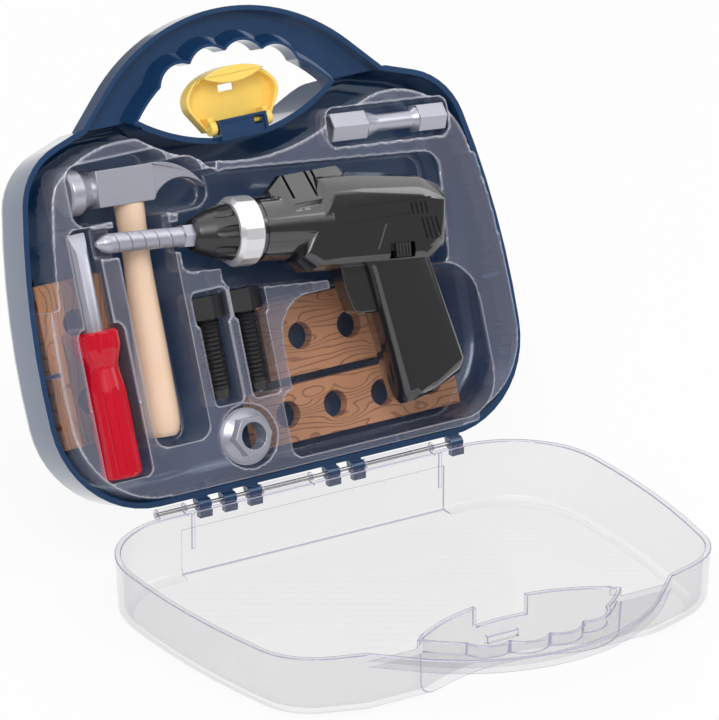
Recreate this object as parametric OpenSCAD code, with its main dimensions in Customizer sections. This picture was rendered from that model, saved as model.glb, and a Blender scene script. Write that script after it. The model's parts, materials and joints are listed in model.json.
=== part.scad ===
// Toy tool case: a hinged case with a clear lid, a clear formed tray and a set of toy tools.
// Millimetres. X runs along the hinge, -Y to the front, Z up. The lid lies flat on Z = 0.

/* [Outline of case and lid] */
// Width of the case and the lid at the widest point
case_width = 300; // [292:1:308]
// Radius of the two bottom corners
corner_radius = 56; // [53:0.5:58]
// Radius of the bulging sides
side_radius = 470; // [440:5:520]
// Radius of the two shoulders
shoulder_radius = 38; // [35:0.5:41]
// Angle where a side takes over from its bottom corner
side_low_angle = -2.7; // [-3.2:0.1:-2.2]
// Angle where a shoulder takes over from its side
side_high_angle = 12; // [11.8:0.1:12.4]
// Angle where a shoulder meets the top edge
shoulder_end_angle = 72; // [70:0.5:74]
// Distance from the hinge axis to the bottom edge of case and lid
hinge_gap = 4; // [3.8:0.1:4.6]
// Half the width between the notches where the handle meets the shoulders
notch_half = 97; // [94:0.5:100]

/* [Case shell] */
// Depth of the case behind its rim
case_depth = 40; // [39:0.5:44]
// Wall of the case
case_wall = 1.3; // [1.2:0.1:1.8]
// Width of the thick rim of the case
rim_width = 3.2; // [2.8:0.1:3.6]
// Depth of the thick rim of the case
rim_depth = 4; // [3:0.5:6]
// Draft of the case walls in degrees
case_draft = 5; // [3:0.5:5.5]
// Rounding between the case walls and the back
case_fillet = 12; // [10:0.5:13]
// Backward lean of the open case in degrees
lean = 21.8; // [18:0.2:24]

/* [Lid] */
// Depth of the lid from its rim to the face it rests on
lid_depth = 37; // [37:0.5:42]
// Wall of the lid
lid_wall = 3.4; // [3:0.1:3.5]
// Draft of the lid walls in degrees
lid_draft = 3; // [2:0.5:4]
// Rounding between the lid walls and its face
lid_fillet = 10; // [8:0.5:12]
// How far the lid face is pushed towards the hinge by its uneven rounding
lid_shift = 3.5; // [2:0.5:4]
// Rounding below the lid's hinge wall
lid_foot_r = 1.6; // [1.2:0.2:3]
// Depth of the lid along the handle
strip_depth = 7.5; // [6.5:0.5:9]
// Wall and floor of the lid along the handle
strip_wall = 2.4; // [2:0.1:2.8]
// Height of the stiffening ribs inside the lid's hinge wall
lid_rib_height = 21; // [16:1:24]

/* [Handle] */
// Rise of the handle above the top edge
handle_rise = 49.5; // [46:0.5:54]
// Outer radius of the handle arch
handle_radius = 109.5; // [106:0.5:113]
// Depth of the handle behind the rim
handle_depth = 12; // [10:0.5:15]
// Wall of the handle channel
handle_wall = 2.6; // [2.2:0.1:3]
// Width of the handle band between two finger hollows
grip_band = 23.5; // [22:0.5:25]
// Radius of the underside of the grip
grip_radius = 80; // [78:0.5:82]
// Radius of one finger hollow
finger_radius = 14; // [13:0.5:15]
// Angle between finger hollows
finger_pitch = 16.5; // [16:0.1:17]
// How far a finger hollow reaches into the band
finger_reach = 4.5; // [3.5:0.1:5.5]
// How much thicker the wall beside the fingers gets towards the channel floor
grip_slope = 4.8; // [3:0.2:6]
// How far the top edge dips below the handle
dish_depth = 20.5; // [18.5:0.5:22]
// Radius of the dipped top edge
dish_radius = 107; // [103:0.5:111]

/* [Hinge] */
// Diameter of the hinge pin
hinge_pin_d = 2.4; // [2:0.1:2.8]
// Outer radius of the hinge knuckles
knuckle_r = 3.2; // [2.8:0.1:3.5]
// Length of one case knuckle along the hinge
knuckle_length = 7.8; // [7:0.2:8]
// Pitch of neighbouring case knuckles
knuckle_pitch = 15.9; // [15.5:0.1:16.3]
// Half the length of the whole hinge
hinge_half = 97.5; // [96:0.5:99]

/* [Latch] */
// Width of the latch cup
latch_width = 58; // [54:1:60]
// Height of the latch cup
latch_height = 33; // [31:0.5:34]
// Height of the latch pivot above the dipped edge
latch_pivot_rise = 6.6; // [6.4:0.1:7.4]
// Diameter of the latch pin
latch_pin_d = 3; // [2.6:0.1:3.4]
// Half the width of the latch bracket on the case
bracket_half = 15; // [14:0.5:15.5]
// Half the depth of the latch bracket about its pin
bracket_r = 5.2; // [4.8:0.1:5.4]
// Height of the latch bracket above its pin
bracket_rise = 3.6; // [3:0.1:3.8]
// How deep the crescent lip of the latch is at its middle
lip_depth = 9; // [8:0.2:9.4]

/* [Tray] */
// Height of the tray's top sheet above the rim
tray_rise = 15; // [13:0.5:17]
// Thickness of the formed sheet
sheet = 0.4; // [0.35:0.05:0.6]
// Distance of the tray's sides inside the outline
tray_inset = 10; // [9:0.5:11]
// Distance of the tray's lower edge inside the outline
tray_low_inset = 5; // [4.6:0.1:6]
// Gap left around a tool in its pocket
pocket_gap = 3.2; // [2.6:0.1:3.6]

/* [Planks] */
// Thickness of a plank
plank_thick = 8; // [6:0.5:8.5]
// Width of the two wide planks
plank_wide = 42; // [40:0.5:43]
// Width of the narrow plank
plank_narrow = 31; // [29:0.5:32]
// Length of the upright plank at the left
plank_left_length = 90; // [84:1:92]
// Length of the upper plank at the right
plank_upper_length = 112; // [106:1:114]
// Length of the lower plank at the right
plank_lower_length = 131; // [126:1:132]
// Diameter of the holes in the planks
plank_hole_d = 14.8; // [13.6:0.2:15.6]
// Pitch of the holes in the right planks
plank_hole_pitch = 31.5; // [30:0.5:32]
// Wall of the hollow planks
plank_wall = 1.6; // [1.4:0.1:2]

/* [Drill] */
// Half the thickness of the drill body
drill_half = 18.5; // [17:0.5:18.5]
// Half the thickness of the drill grip
grip_half = 15; // [14:0.5:16]
// Wall of the drill housing
drill_wall = 1.5; // [1.3:0.1:1.8]
// Rear end of the drill body behind the ring's centre
drill_rear = 125.5; // [123:0.5:128]
// Radius of the silver ring
ring_r = 19.2; // [18.4:0.2:19.8]
// Length of the silver ring
ring_length = 14.4; // [13:0.2:15]
// Length of the chuck in front of the ring
chuck_length = 22; // [20:0.5:23]
// Radius of the chuck where it meets the ring
chuck_r = 15.8; // [15:0.2:16.6]
// Radius of the chuck's nose
chuck_nose_r = 8; // [7.6:0.1:8.6]
// Radius of the drill bit
bit_r = 5.4; // [5:0.1:5.6]
// Length of the drill bit outside the chuck
bit_length = 58; // [54:1:59]
// Turns of the groove along the drill bit
bit_turns = 5.5; // [4:0.5:7]
// Diameter of the spindle
spindle_d = 8; // [7:0.2:9]
// Travel of the trigger
trigger_travel = 5; // [4:0.5:6]
// Travel of the direction switch either way
switch_travel = 3; // [2:0.5:3.5]
// Diameter of the motor
motor_d = 24; // [21:0.5:26]
// Diameter of the housing screws
screw_d = 2.6; // [2.2:0.1:3]

/* [Hammer] */
// Radius of the hammer face
hammer_face_r = 12.5; // [11.5:0.5:13]
// Height of the hammer's cheek
hammer_cheek = 20; // [18:0.5:21]
// Length of the hammer handle below the head's middle
hammer_length = 137; // [132:1:138]
// Largest radius of the hammer handle
hammer_grip_r = 10.4; // [10:0.2:10.8]

/* [Screwdriver] */
// Length of the screwdriver handle
driver_handle_length = 80; // [76:1:81]
// Radius of the screwdriver collar
driver_collar_r = 12.8; // [12.4:0.2:13.2]
// Radius of the screwdriver handle below its neck
driver_grip_r = 10.9; // [10.4:0.1:11.4]
// Length of the blade beyond the handle
driver_blade_length = 53; // [50:1:54]
// Radius of the blade
driver_blade_r = 5.3; // [5:0.1:5.6]

/* [Socket tool, bolts and nut] */
// Length of the double-ended socket tool
socket_length = 72; // [69:0.5:73]
// Width across the flats of the larger socket
socket_flats = 15.5; // [14.5:0.5:16.5]
// Width across the flats of a bolt head
bolt_flats = 18; // [17:0.2:18.4]
// Length of a bolt with its head
bolt_length = 56; // [54:0.5:57]
// Outer diameter of the bolt thread
bolt_d = 13.6; // [13:0.1:14]
// Pitch of the bolt thread
bolt_pitch = 2.4; // [2:0.1:2.8]
// Radial gap between the bolt thread and the nut
thread_gap = 0.7; // [0.5:0.1:0.9]
// Radius of the nut's flange
nut_flange_r = 15.6; // [15:0.2:16.2]
// Width across the flats of the nut
nut_flats = 20; // [19.4:0.2:21]
// Whole height of the nut
nut_height = 11.5; // [10:0.5:13]

/* [Fits] */
// Radial clearance of a pin that turns in its bore
running_fit = 0.05; // [0.02:0.01:0.09]
// Clearance between sliding or neighbouring pieces
slip_fit = 0.4; // [0.3:0.05:0.5]
// Gap left at the hinge stop
stop_gap = 0.1; // [0.05:0.05:0.2]

/* [Hidden] */
$fn = 64;
e = 0.01;
slab = 0.02;
bank_edge = 1.6;
navy = [0.08, 0.16, 0.31];
black = [0.06, 0.06, 0.07];
grey = [0.6, 0.61, 0.64];
clear = [0.9, 0.9, 0.94, 0.3];

// Centres of the arcs of the outline, in the plane of the rim with the hinge axis at Y = 0
bottom_half = case_width/2 - side_radius + (side_radius - corner_radius)*cos(side_low_angle);
corner_c = [bottom_half, hinge_gap + corner_radius];
side_c = corner_c - (side_radius - corner_radius)*[cos(side_low_angle), sin(side_low_angle)];
shoulder_c = side_c + (side_radius - shoulder_radius)*[cos(side_high_angle), sin(side_high_angle)];

function arc(c, r, a, b, n) = [for (i = [0:n]) let(t = a + (b - a)*i/n) [c.x + r*cos(t), c.y + r*sin(t)]];
function tail(p) = [for (i = [1:len(p) - 1]) p[i]];
function top_point(d) = let(
    p = shoulder_c + (shoulder_radius - d)*[cos(shoulder_end_angle), sin(shoulder_end_angle)],
    x = notch_half - d)
  [x, p.y + (p.x - x)/tan(shoulder_end_angle)];
function half_outline(d) = concat(
  arc(corner_c, corner_radius - d, -90, side_low_angle, 11),
  tail(arc(side_c, side_radius - d, side_low_angle, side_high_angle, 6)),
  tail(arc(shoulder_c, shoulder_radius - d, side_high_angle, shoulder_end_angle, 7)),
  [top_point(d)]);
function mirrored(p) = [for (i = [len(p) - 1:-1:0]) [-p[i].x, p[i].y]];
function outline(d) = concat(half_outline(d), mirrored(half_outline(d)));
function inset_at(w, depth, draft, fillet) =
  let(k = min(fillet, max(0, w - depth + fillet))) w*tan(draft) + fillet - sqrt(fillet*fillet - k*k);

body_top = top_point(0).y;
handle_apex = body_top + handle_rise;
handle_c = handle_apex - handle_radius;
grip_c = handle_apex - grip_band - grip_radius;
dish_low = body_top - dish_depth;
dish_c = dish_low + dish_radius;
rest_y = 105;
hinge_z = lid_depth;
case_inner = case_depth - case_wall;
lid_inner = lid_depth - lid_wall;

// The case leans back from the hinge axis, and the lid lies in front of it with its rim up
module case_frame() translate([0, rest_y, hinge_z]) rotate([90 - lean, 0, 0]) children();
module lid_frame() translate([0, rest_y, hinge_z]) rotate([180, 0, 0]) children();
module back() rotate([0, 180, 0]) children();
module x_rod(r, a, b) translate([a, 0, 0]) rotate([0, 90, 0]) cylinder(h = b - a, r = r);

module body_hull(depth, draft, fillet, inset, start, shift) {
  levels = [depth - fillet, depth - 0.6*fillet, depth - 0.3*fillet, depth - 0.1*fillet, depth - slab];
  hull() for (w = concat([start], levels))
    translate([0, -shift*max(0, w - depth + fillet)/fillet, w])
      linear_extrude(height = slab)
        polygon(outline(inset + inset_at(max(0, w + slab), depth, draft, fillet)));
}

// Upright strip along the hinge wall, which gives the lid its rear footing
foot_half = 0.9*bottom_half;
module lid_foot() hull() for (k = [[0, 1], [0.29, 0.3], [1, 0]]*lid_foot_r)
  translate([-foot_half, hinge_gap + k[0], lid_fillet])
    cube([2*foot_half, 2*lid_fillet, lid_depth - k[1] - lid_fillet]);

module dish(d, low, high) translate([0, dish_c, low])
  cylinder(h = high - low, r = dish_radius + d, $fn = 128);

module handle_outer(d) {
  t = (handle_radius - d)*sin(45);
  low = body_top - 6;
  difference() {
    translate([0, handle_c]) circle(r = handle_radius - d, $fn = 128);
    translate([-handle_radius, handle_c - handle_radius]) square([2*handle_radius, handle_radius + t]);
  }
  foot = t + (handle_c + t - low);
  polygon([[-t, handle_c + t], [-foot, low], [foot, low], [t, handle_c + t]]);
}

module opening(d) {
  intersection() {
    translate([0, dish_c]) circle(r = dish_radius + d, $fn = 128);
    translate([0, grip_c]) circle(r = grip_radius + d, $fn = 128);
  }
  for (a = [-1.5, -0.5, 0.5, 1.5]*finger_pitch)
    translate([(grip_radius + finger_reach - finger_radius)*sin(a), grip_c
        + (grip_radius + finger_reach - finger_radius)*cos(a)])
      circle(r = finger_radius + d);
}

// Wall between the handle channel and the fingers, thicker towards the floor of the channel
module grip_bank() {
  h = handle_depth - handle_wall;
  intersection() {
    translate([0, dish_c, 0]) cylinder(h = h, r = dish_radius + handle_wall, $fn = 128);
    translate([0, grip_c, 0])
      cylinder(h = h, r1 = grip_radius + bank_edge + grip_slope, r2 = grip_radius + bank_edge, $fn = 128);
  }
  for (a = [-1.5, -0.5, 0.5, 1.5]*finger_pitch)
    translate([(grip_radius + finger_reach - finger_radius)*sin(a), grip_c
        + (grip_radius + finger_reach - finger_radius)*cos(a), 0])
      cylinder(h = h, r1 = finger_radius + bank_edge + grip_slope, r2 = finger_radius + bank_edge);
}

// Hinge: the case and the lid each carry their own run of knuckles on one pin
case_knuckles = [hinge_half - knuckle_length, -0.335*hinge_half - knuckle_length + slip_fit,
  -0.335*hinge_half - knuckle_length + slip_fit - knuckle_pitch,
  -0.335*hinge_half - knuckle_length + slip_fit - 2*knuckle_pitch,
  0.35*hinge_half - knuckle_length - slip_fit, 0.35*hinge_half - knuckle_length - slip_fit - knuckle_pitch];
lid_knuckles = [[-hinge_half, -0.81*hinge_half], [-0.335*hinge_half + 2*slip_fit, 0.01*hinge_half],
  [0.35*hinge_half, 0.81*hinge_half]];

module knuckle_run(a, b) {
  x_rod(knuckle_r, a, b);
  translate([a, 0, 0]) cube([b - a, hinge_gap + 1.5, knuckle_r]);
}

module hinge_bore() x_rod(hinge_pin_d/2 + running_fit, -hinge_half - 1, hinge_half + 1);

// A heel behind each case knuckle meets the lid's hinge wall when the case is fully open
module hinge_heels() translate([0, rest_y, hinge_z])
  for (a = case_knuckles)
    translate([a, -hinge_gap + stop_gap, -2*knuckle_r])
      cube([knuckle_length, hinge_gap - stop_gap - 0.2, 2*knuckle_r - hinge_pin_d]);

catch_low = 17.4;
catch_high = 21.8;
module lid_shell() color(clear) lid_frame() difference() {
  union() {
    difference() {
      union() {
        difference() {
          union() {
            body_hull(lid_depth, lid_draft, lid_fillet, 0, 0, lid_shift);
            lid_foot();
          }
          dish(0, -1, lid_depth + 1);
        }
        linear_extrude(height = strip_depth) difference() {
          handle_outer(0);
          opening(0);
        }
      }
      difference() {
        body_hull(lid_inner, lid_draft, lid_fillet - lid_wall, lid_wall, -1, lid_shift);
        dish(lid_wall, -2, lid_depth);
      }
      translate([0, 0, -1]) linear_extrude(height = strip_depth - strip_wall + 1) difference() {
        handle_outer(strip_wall);
        opening(strip_wall);
      }
    }
    for (k = lid_knuckles) knuckle_run(k[0], k[1]);
    for (s = [-1, 1]) translate([s*0.81*hinge_half - 1.2, hinge_gap + lid_wall - 0.5, 0])
      cube([2.4, 1.8, lid_rib_height]);
    intersection() {
      translate([-10, dish_low - lid_wall/2, catch_low]) cube([20, lid_wall/2 + 3, catch_high - catch_low]);
      translate([0, dish_low - 6, (catch_low + catch_high)/2]) x_rod(9.2, -10, 10);
    }
  }
  translate([-bracket_half - 0.8, dish_low - lid_wall - 4, -1])
    cube([2*bracket_half + 1.6, lid_wall + 12, 12]);
  hinge_bore();
}

module hinge_pin() color(grey) translate([0, rest_y, hinge_z])
  x_rod(hinge_pin_d/2, -hinge_half, hinge_half);

// Latch: a cup on arms that swings on a pin through the bracket
pivot_y = dish_low + latch_pivot_rise;
arm_r = 4.2;
arm_width = 4;
latch_back = -9;
latch_plate = 2;
cup_wall = 2;
lip_reach = latch_pivot_rise - 2;
module latch_place() case_frame() translate([0, pivot_y, 0]) children();

frame_edge = 1.6;
module case_bracket() translate([-bracket_half, pivot_y, -bracket_r]) {
  translate([0, -latch_pivot_rise - 1.2, 0])
    cube([2*bracket_half, latch_pivot_rise + 1.2 + bracket_rise, 2*bracket_r]);
}
module bracket_recess() translate([-bracket_half + frame_edge, pivot_y, bracket_r - 1.2]) {
  translate([0, -latch_pivot_rise, 0])
    cube([2*bracket_half - 2*frame_edge, latch_pivot_rise + bracket_rise - frame_edge, 3]);
  translate([2*bracket_half - 2*frame_edge - 6, -2.4, -bracket_r + 0.6]) cube([5, 4.4, bracket_r]);
}

plank_low = -33.2;
rib_low = -case_inner - e;
post_inset = 1.6;
side_post = 16;
module case_shell() color(navy) {
  case_frame() {
    difference() {
      union() {
        difference() {
          back() body_hull(case_depth, case_draft, case_fillet, 0, 0, 0);
          dish(0, -case_depth - 1, 1);
        }
        translate([0, 0, -handle_depth]) linear_extrude(height = handle_depth) difference() {
          handle_outer(0);
          opening(0);
        }
        case_bracket();
        for (a = case_knuckles) back() knuckle_run(-a - knuckle_length, -a);
      }
      difference() {
        back() body_hull(case_inner, case_draft, case_fillet - case_wall, case_wall, rim_depth, 0);
        dish(case_wall, -case_depth, 0);
      }
      translate([0, 0, -rim_depth - e]) linear_extrude(height = rim_depth + 1) difference() {
        polygon(outline(rim_width));
        translate([0, dish_c]) circle(r = dish_radius + rim_width, $fn = 128);
      }
      translate([0, 0, -handle_depth + handle_wall]) difference() {
        linear_extrude(height = handle_depth) handle_outer(handle_wall);
        grip_bank();
      }
      hinge_bore();
      translate([0, pivot_y, 0]) x_rod(latch_pin_d/2, -bracket_half - 1, bracket_half + 1);
      bracket_recess();
    }
    for (p = [[-plank_left_x - 16, plank_left_low - 3, plank_left_length + 6],
        [-plank_left_x + 13, plank_left_low - 3, plank_left_length + 6],
        [plank_upper_x + 38, plank_upper_low - 2, plank_wide + 6],
        [plank_upper_x + 70, plank_upper_low - 2, plank_wide + 6],
        [plank_lower_x + 36, plank_lower_low - 2, plank_narrow + 4],
        [plank_lower_x + 97, plank_lower_low - 2, plank_narrow + 4]])
      translate([p[0], p[1], rib_low]) cube([2.4, p[2], plank_low - rib_low]);
    intersection() {
      for (p = [[-case_width/2, 84, side_post, 2], [case_width/2 - side_post, 84, side_post, 2],
          [-62, 0, 2, 11], [60, 0, 2, 11]])
        translate([p[0], p[1], tray_rise - skirt - 10]) cube([p[2], p[3], 10]);
      translate([0, 0, -case_depth]) linear_extrude(height = case_depth) polygon(outline(post_inset));
    }
  }
  difference() {
    hinge_heels();
    translate([0, rest_y, hinge_z]) hinge_bore();
  }
}

lip_r = 40;
lip_plate = 1.6;
cup_mid = latch_height/2 - 1.5;
lip_low = cup_mid + latch_height/2 - lip_depth;
arm_out = bracket_half + slip_fit + arm_width;
function cup(d) = concat([[-arm_out + d, -2 - d], [arm_out - d, -2 - d]],
  [for (i = [0:44]) let(t = -20 + 5*i)
    [(latch_width/2 - d)*cos(t), cup_mid + (latch_height/2 - d)*sin(t)]]);
module lip_disc() translate([0, lip_low + lip_r]) circle(r = lip_r, $fn = 96);

module latch() color([0.98, 0.8, 0.3]) latch_place() difference() {
  union() {
    translate([0, 0, latch_back]) difference() {
      linear_extrude(height = -latch_back - 1) polygon(cup(0));
      translate([0, 0, latch_plate]) linear_extrude(height = -latch_back) polygon(cup(cup_wall));
    }
    translate([0, 0, latch_back]) linear_extrude(height = -latch_back + lip_reach) intersection() {
      difference() {
        polygon(cup(0));
        polygon(cup(cup_wall));
      }
      lip_disc();
    }
    translate([0, 0, lip_reach - lip_plate]) linear_extrude(height = lip_plate) intersection() {
      polygon(cup(0));
      lip_disc();
    }
    for (s = [-1, 1]) translate([s*(arm_out - arm_width/2) - arm_width/2, 0, 0]) {
      x_rod(arm_r, 0, arm_width);
      translate([0, -2, latch_back + 0.5]) cube([arm_width, 8, -latch_back - 0.5 + 1]);
    }
  }
  x_rod(latch_pin_d/2 + running_fit, -latch_width, latch_width);
  translate([-4.7, lip_low - 4.2, latch_back - 1]) cube([9.4, 3.8, latch_plate + 2]);
}

module latch_pin() color(grey) latch_place()
  x_rod(latch_pin_d/2, -arm_out, arm_out);

// Tools: each stands in the tray at its own place, in the frame of the case
across = case_width/300;
drill_tilt = -6.3;
drill_at = [-21.3*across, 140.5, tray_rise - 1.5];
hammer_tilt = -3.2;
hammer_at = [-74.3*across, 177, tray_rise - 18];
driver_at = [-115.5*across, 24.5, 6];
socket_tilt = -5;
socket_at = [83.3*across, 181, 10];
bolt_left_x = -47*across;
bolt_right_x = -23.4*across;
bolt_top = 109.6;
bolt_z = 6;
nut_at = [-39.8*across, 31, tray_rise - 6];
plank_left_margin = 41;
plank_left_x = case_width/2 - plank_left_margin;
plank_left_low = 43;
plank_upper_x = 1.8*across;
plank_upper_low = 54;
plank_lower_x = -14*across;
plank_lower_low = 18.5;
barrel_front = 10;
barrel_front_r = 17.6;
barrel_rear_r = 19.3;
barrel_rear = 50;

module drill_frame() case_frame() translate(drill_at) rotate([0, 0, drill_tilt]) children();
module hammer_frame() case_frame() translate(hammer_at) rotate([0, 0, hammer_tilt]) children();

// Tray: a sheet with pockets, every pocket a thin cup of the same sheet
well_floor = plank_low + plank_thick + slip_fit + sheet;
drill_floor = drill_at.z - max(drill_half, ring_r, barrel_rear_r) - slip_fit;
bit_floor = drill_at.z - bit_r - 1.2;
hammer_floor = hammer_at.z - hammer_face_r - slip_fit;
driver_floor = driver_at.z - driver_collar_r - slip_fit;
bolt_floor = bolt_z - bolt_flats/sqrt(3) - slip_fit;
socket_floor = socket_at.z - socket_flats/sqrt(3) - slip_fit;

module round_box(a, b, r) {
  for (x = [a.x + r, b.x - r], y = [a.y + r, b.y - r]) translate([x, y]) circle(r = r);
  translate([a.x + r, a.y]) square([b.x - a.x - 2*r, b.y - a.y]);
  translate([a.x, a.y + r]) square([b.x - a.x, b.y - a.y - 2*r]);
}

module grown_box(a, b, r, g) round_box([a.x - g, a.y - g], [b.x + g, b.y + g], r + g);

module pocket(name, g) {
  if (name == "well") {
    grown_box([-7*across, 13.5], [118*across, 99], 22, g);
    grown_box([-14.5*across, 13.5], [80*across, 49.5], 6, g);
  }
  if (name == "drill") translate([drill_at.x, drill_at.y]) rotate(drill_tilt) {
    grown_box([-13, -31], [drill_rear + pocket_gap, 33.5], 9, g);
    grown_box([53, -52], [122, 0], 6, g);
    grown_box([-chuck_length - 14, -chuck_r - pocket_gap], [0, chuck_r + pocket_gap], 5, g);
  }
  if (name == "bit") translate([drill_at.x, drill_at.y]) rotate(drill_tilt)
    grown_box([bit_front - pocket_gap, -bit_r - 2.4], [-chuck_length, bit_r + 2.4], 4, g);
  if (name == "hammer") translate([hammer_at.x, 0]) {
    grown_box([-21.2, 35.5], [12.3, 166], 8, g);
    grown_box([-44.2, 160.5], [18.3, 193.5], 8, g);
    grown_box([8.3, 157.5], [38.3, 186], 10, g);
    grown_box([12.3, 157.5], [49.3, 177], 8, g);
  }
  if (name == "driver") {
    grown_box([driver_at.x - driver_collar_r - 1, driver_at.y - 1.5],
      [driver_at.x + driver_collar_r + 1, driver_at.y + driver_handle_length + 2], 4, g);
    grown_box([driver_at.x - driver_blade_r - pocket_gap, driver_at.y + 40],
      [driver_at.x + driver_blade_r + pocket_gap,
        driver_at.y + driver_handle_length + driver_blade_length + 2.5], 5, g);
  }
  if (name == "bolts") for (x = [bolt_left_x, bolt_right_x]) {
    grown_box([x - bolt_flats/2 - 1.4, bolt_top - 15], [x + bolt_flats/2 + 1.4, bolt_top + 3], 2, g);
    grown_box([x - bolt_d/2 - 1.6, bolt_top - bolt_length - 3], [x + bolt_d/2 + 1.6, bolt_top - 6], 2, g);
  }
  if (name == "nut") translate([nut_at.x, nut_at.y]) circle(r = nut_flange_r + 1.6 + g);
  if (name == "socket") translate([socket_at.x, socket_at.y]) rotate(socket_tilt)
    grown_box([-socket_length/2 - 2, -10.4], [socket_length/2 + 2, 10.4], 5, g);
}

pockets = [["well", well_floor], ["drill", drill_floor], ["bit", bit_floor], ["hammer", hammer_floor],
  ["driver", driver_floor], ["bolts", bolt_floor], ["nut", nut_at.z - slip_fit], ["socket", socket_floor]];

// Top edge of the sheet: a round lobe over the hammer, one over the socket tool and a dip between them
lobe_left = [-82*across, 137, 65];
lobe_right = [86*across, 153, 45.5];
lobe_start = 155;
dip_left = -27*across;
dip_right = 62*across;
tab_half = hinge_half + 6.5;
side_tab_top = 120;
module lobe(c, d) translate([c.x, c.y]) circle(r = c.z - d, $fn = 128);
module tray_edge(d) difference() {
  intersection() {
    union() {
      polygon(outline(tray_inset + d));
      intersection() {
        polygon(outline(tray_low_inset + d));
        translate([-tab_half + d, 0]) square([2*tab_half - 2*d, corner_c.y]);
      }
      intersection() {
        polygon(outline(tray_low_inset + d));
        translate([-case_width, 0]) square([case_width - notch_half + 1 - d, side_tab_top - d]);
      }
    }
    union() {
      translate([-case_width, 0]) square([2*case_width, lobe_start]);
      lobe(lobe_left, d);
      lobe(lobe_right, d);
      translate([dip_left + d, 0]) square([dip_right - dip_left - 2*d, body_top]);
    }
  }
  translate([0, dish_c]) circle(r = dish_radius + 13 + d, $fn = 128);
}

// The sheet keeps a narrow border around the pockets that reach its edge
rim_room = 1.2;
module tray_outline(d) {
  tray_edge(d);
  for (name = ["well", "hammer", "socket", "driver"]) pocket(name, rim_room - d);
}

skirt = 19;
module pocket_cups() for (p = pockets) translate([0, 0, p[1] - sheet])
  linear_extrude(height = tray_rise - p[1] + sheet) pocket(p[0], sheet);

module tray() color(clear) case_frame() difference() {
  union() {
    translate([0, 0, tray_rise - skirt]) linear_extrude(height = skirt) tray_outline(0);
    pocket_cups();
  }
  difference() {
    translate([0, 0, tray_rise - skirt - 1]) linear_extrude(height = skirt + 1 - sheet) tray_outline(sheet);
    pocket_cups();
  }
  for (p = pockets) translate([0, 0, p[1]]) linear_extrude(height = tray_rise - p[1] + 1) pocket(p[0], 0);
}

// Planks lie under the tray, each a shallow moulded box open at the back
module plank(x, y, length, width, holes, hole_y) {
  hole_r = plank_hole_d/2;
  translate([x, y, plank_low]) difference() {
    cube([length, width, plank_thick]);
    difference() {
      translate([plank_wall, plank_wall, -1])
        cube([length - 2*plank_wall, width - 2*plank_wall, plank_thick - plank_wall + 1]);
      for (h = holes) translate([h, hole_y, -2]) cylinder(h = plank_thick + 2, r = hole_r + plank_wall);
    }
    for (h = holes) translate([h, hole_y, -1]) cylinder(h = plank_thick + 2, r = hole_r);
  }
}

wood = [0.78, 0.5, 0.33];
plank_margin = 23.7;
module plank_left() color(wood) case_frame()
  translate([-plank_left_x, plank_left_low, 0]) rotate([0, 0, 90])
  plank(0, -plank_wide/2, plank_left_length, plank_wide,
    [plank_margin, plank_left_length - plank_margin], plank_wide/2);
module plank_upper() color(wood) case_frame()
  plank(plank_upper_x, plank_upper_low, plank_upper_length, plank_wide,
    [for (i = [0:2]) plank_margin + i*plank_hole_pitch], plank_wide/2);
module plank_lower() color(wood) case_frame()
  plank(plank_lower_x, plank_lower_low, plank_lower_length, plank_narrow,
    [for (i = [0:3]) plank_margin - 1 + i*(plank_hole_pitch - 1)], plank_narrow/2);

// Drill: two housing halves that meet at the middle, in a frame with X along the bit towards the rear
main_front_low = 28;
main_front_top = 46;
main_top = 26.5;
main_low = 27;
grip_top = -20;
function main_side(d, t) = [[main_front_low + d, -20 + d], [main_front_low + 8 + d, -main_low + 1 + d],
  [drill_rear - 14 - d, -main_low + d], [drill_rear - 4 - d, -19.5 + d], [drill_rear - d, 10.5 - t/3],
  [drill_rear - 4.5 - d, 18 - t], [drill_rear - 15.5 - d, main_top - 4 - t],
  [main_front_top + 24, main_top - t], [main_front_top + d, main_top - t]];
function grip_side(d) = [[112 - d, grip_top], [72 + d, grip_top], [73 + d, -27], [87.5 + d, -88],
  [87 + d, -99 + d], [91 + d, -102.5 + d], [106, -98.5 + d], [125.5 - d, -89 + d], [129 - d, -81],
  [112 - d, -27.6]];

module main_hull(d) hull() for (s = [[0, 0, 0], [0.62, 0.8, 2.6], [0.88, 3, 7.5], [1, 6.5, 13]])
  translate([0, 0, max(0, s[0]*(drill_half - d) - slab)])
    linear_extrude(height = slab) polygon(main_side(s[1] + d, s[2] + d));
module grip_hull(d) hull() for (s = [[0, 0], [0.55, 0.8], [0.85, 3.2], [1, 7]])
  translate([0, 0, max(0, s[0]*(grip_half - d) - slab)])
    linear_extrude(height = slab) polygon(grip_side(s[1] + d));
module barrel(d) intersection() {
  translate([barrel_front + d, 0, 0]) rotate([0, 90, 0])
    cylinder(h = barrel_rear - barrel_front - d, r1 = barrel_front_r - d, r2 = barrel_rear_r - d);
  translate([0, -50, 0]) cube([100, 100, 50]);
}

ridge_half = 16;
ridge_flat = 2.5;
ridge_drop = 16;
ridge_front = 20;
ridge_rear = 68;
ridge_top = 30.5;
function ridge_side(t) = [[ridge_front, 0], [ridge_rear, 0], [ridge_rear, main_top - t],
  [ridge_rear - 5, ridge_top - t], [ridge_front + 8, ridge_top - 3 - t], [ridge_front, 20 - t]];
module ridge() difference() {
  hull() for (s = [[ridge_flat, 0], [ridge_half, ridge_drop]])
    translate([0, 0, -1]) linear_extrude(height = s[0] + 1) polygon(ridge_side(s[1]));
  for (x = [28.5, 42.5, 46.5]) translate([x, barrel_rear_r, -2]) cube([1.6, 20, 6]);
  for (x = [28.5, 42.5, 46.5]) translate([x, 14.5, 1]) cube([1.6, 20, 20]);
}

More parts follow.
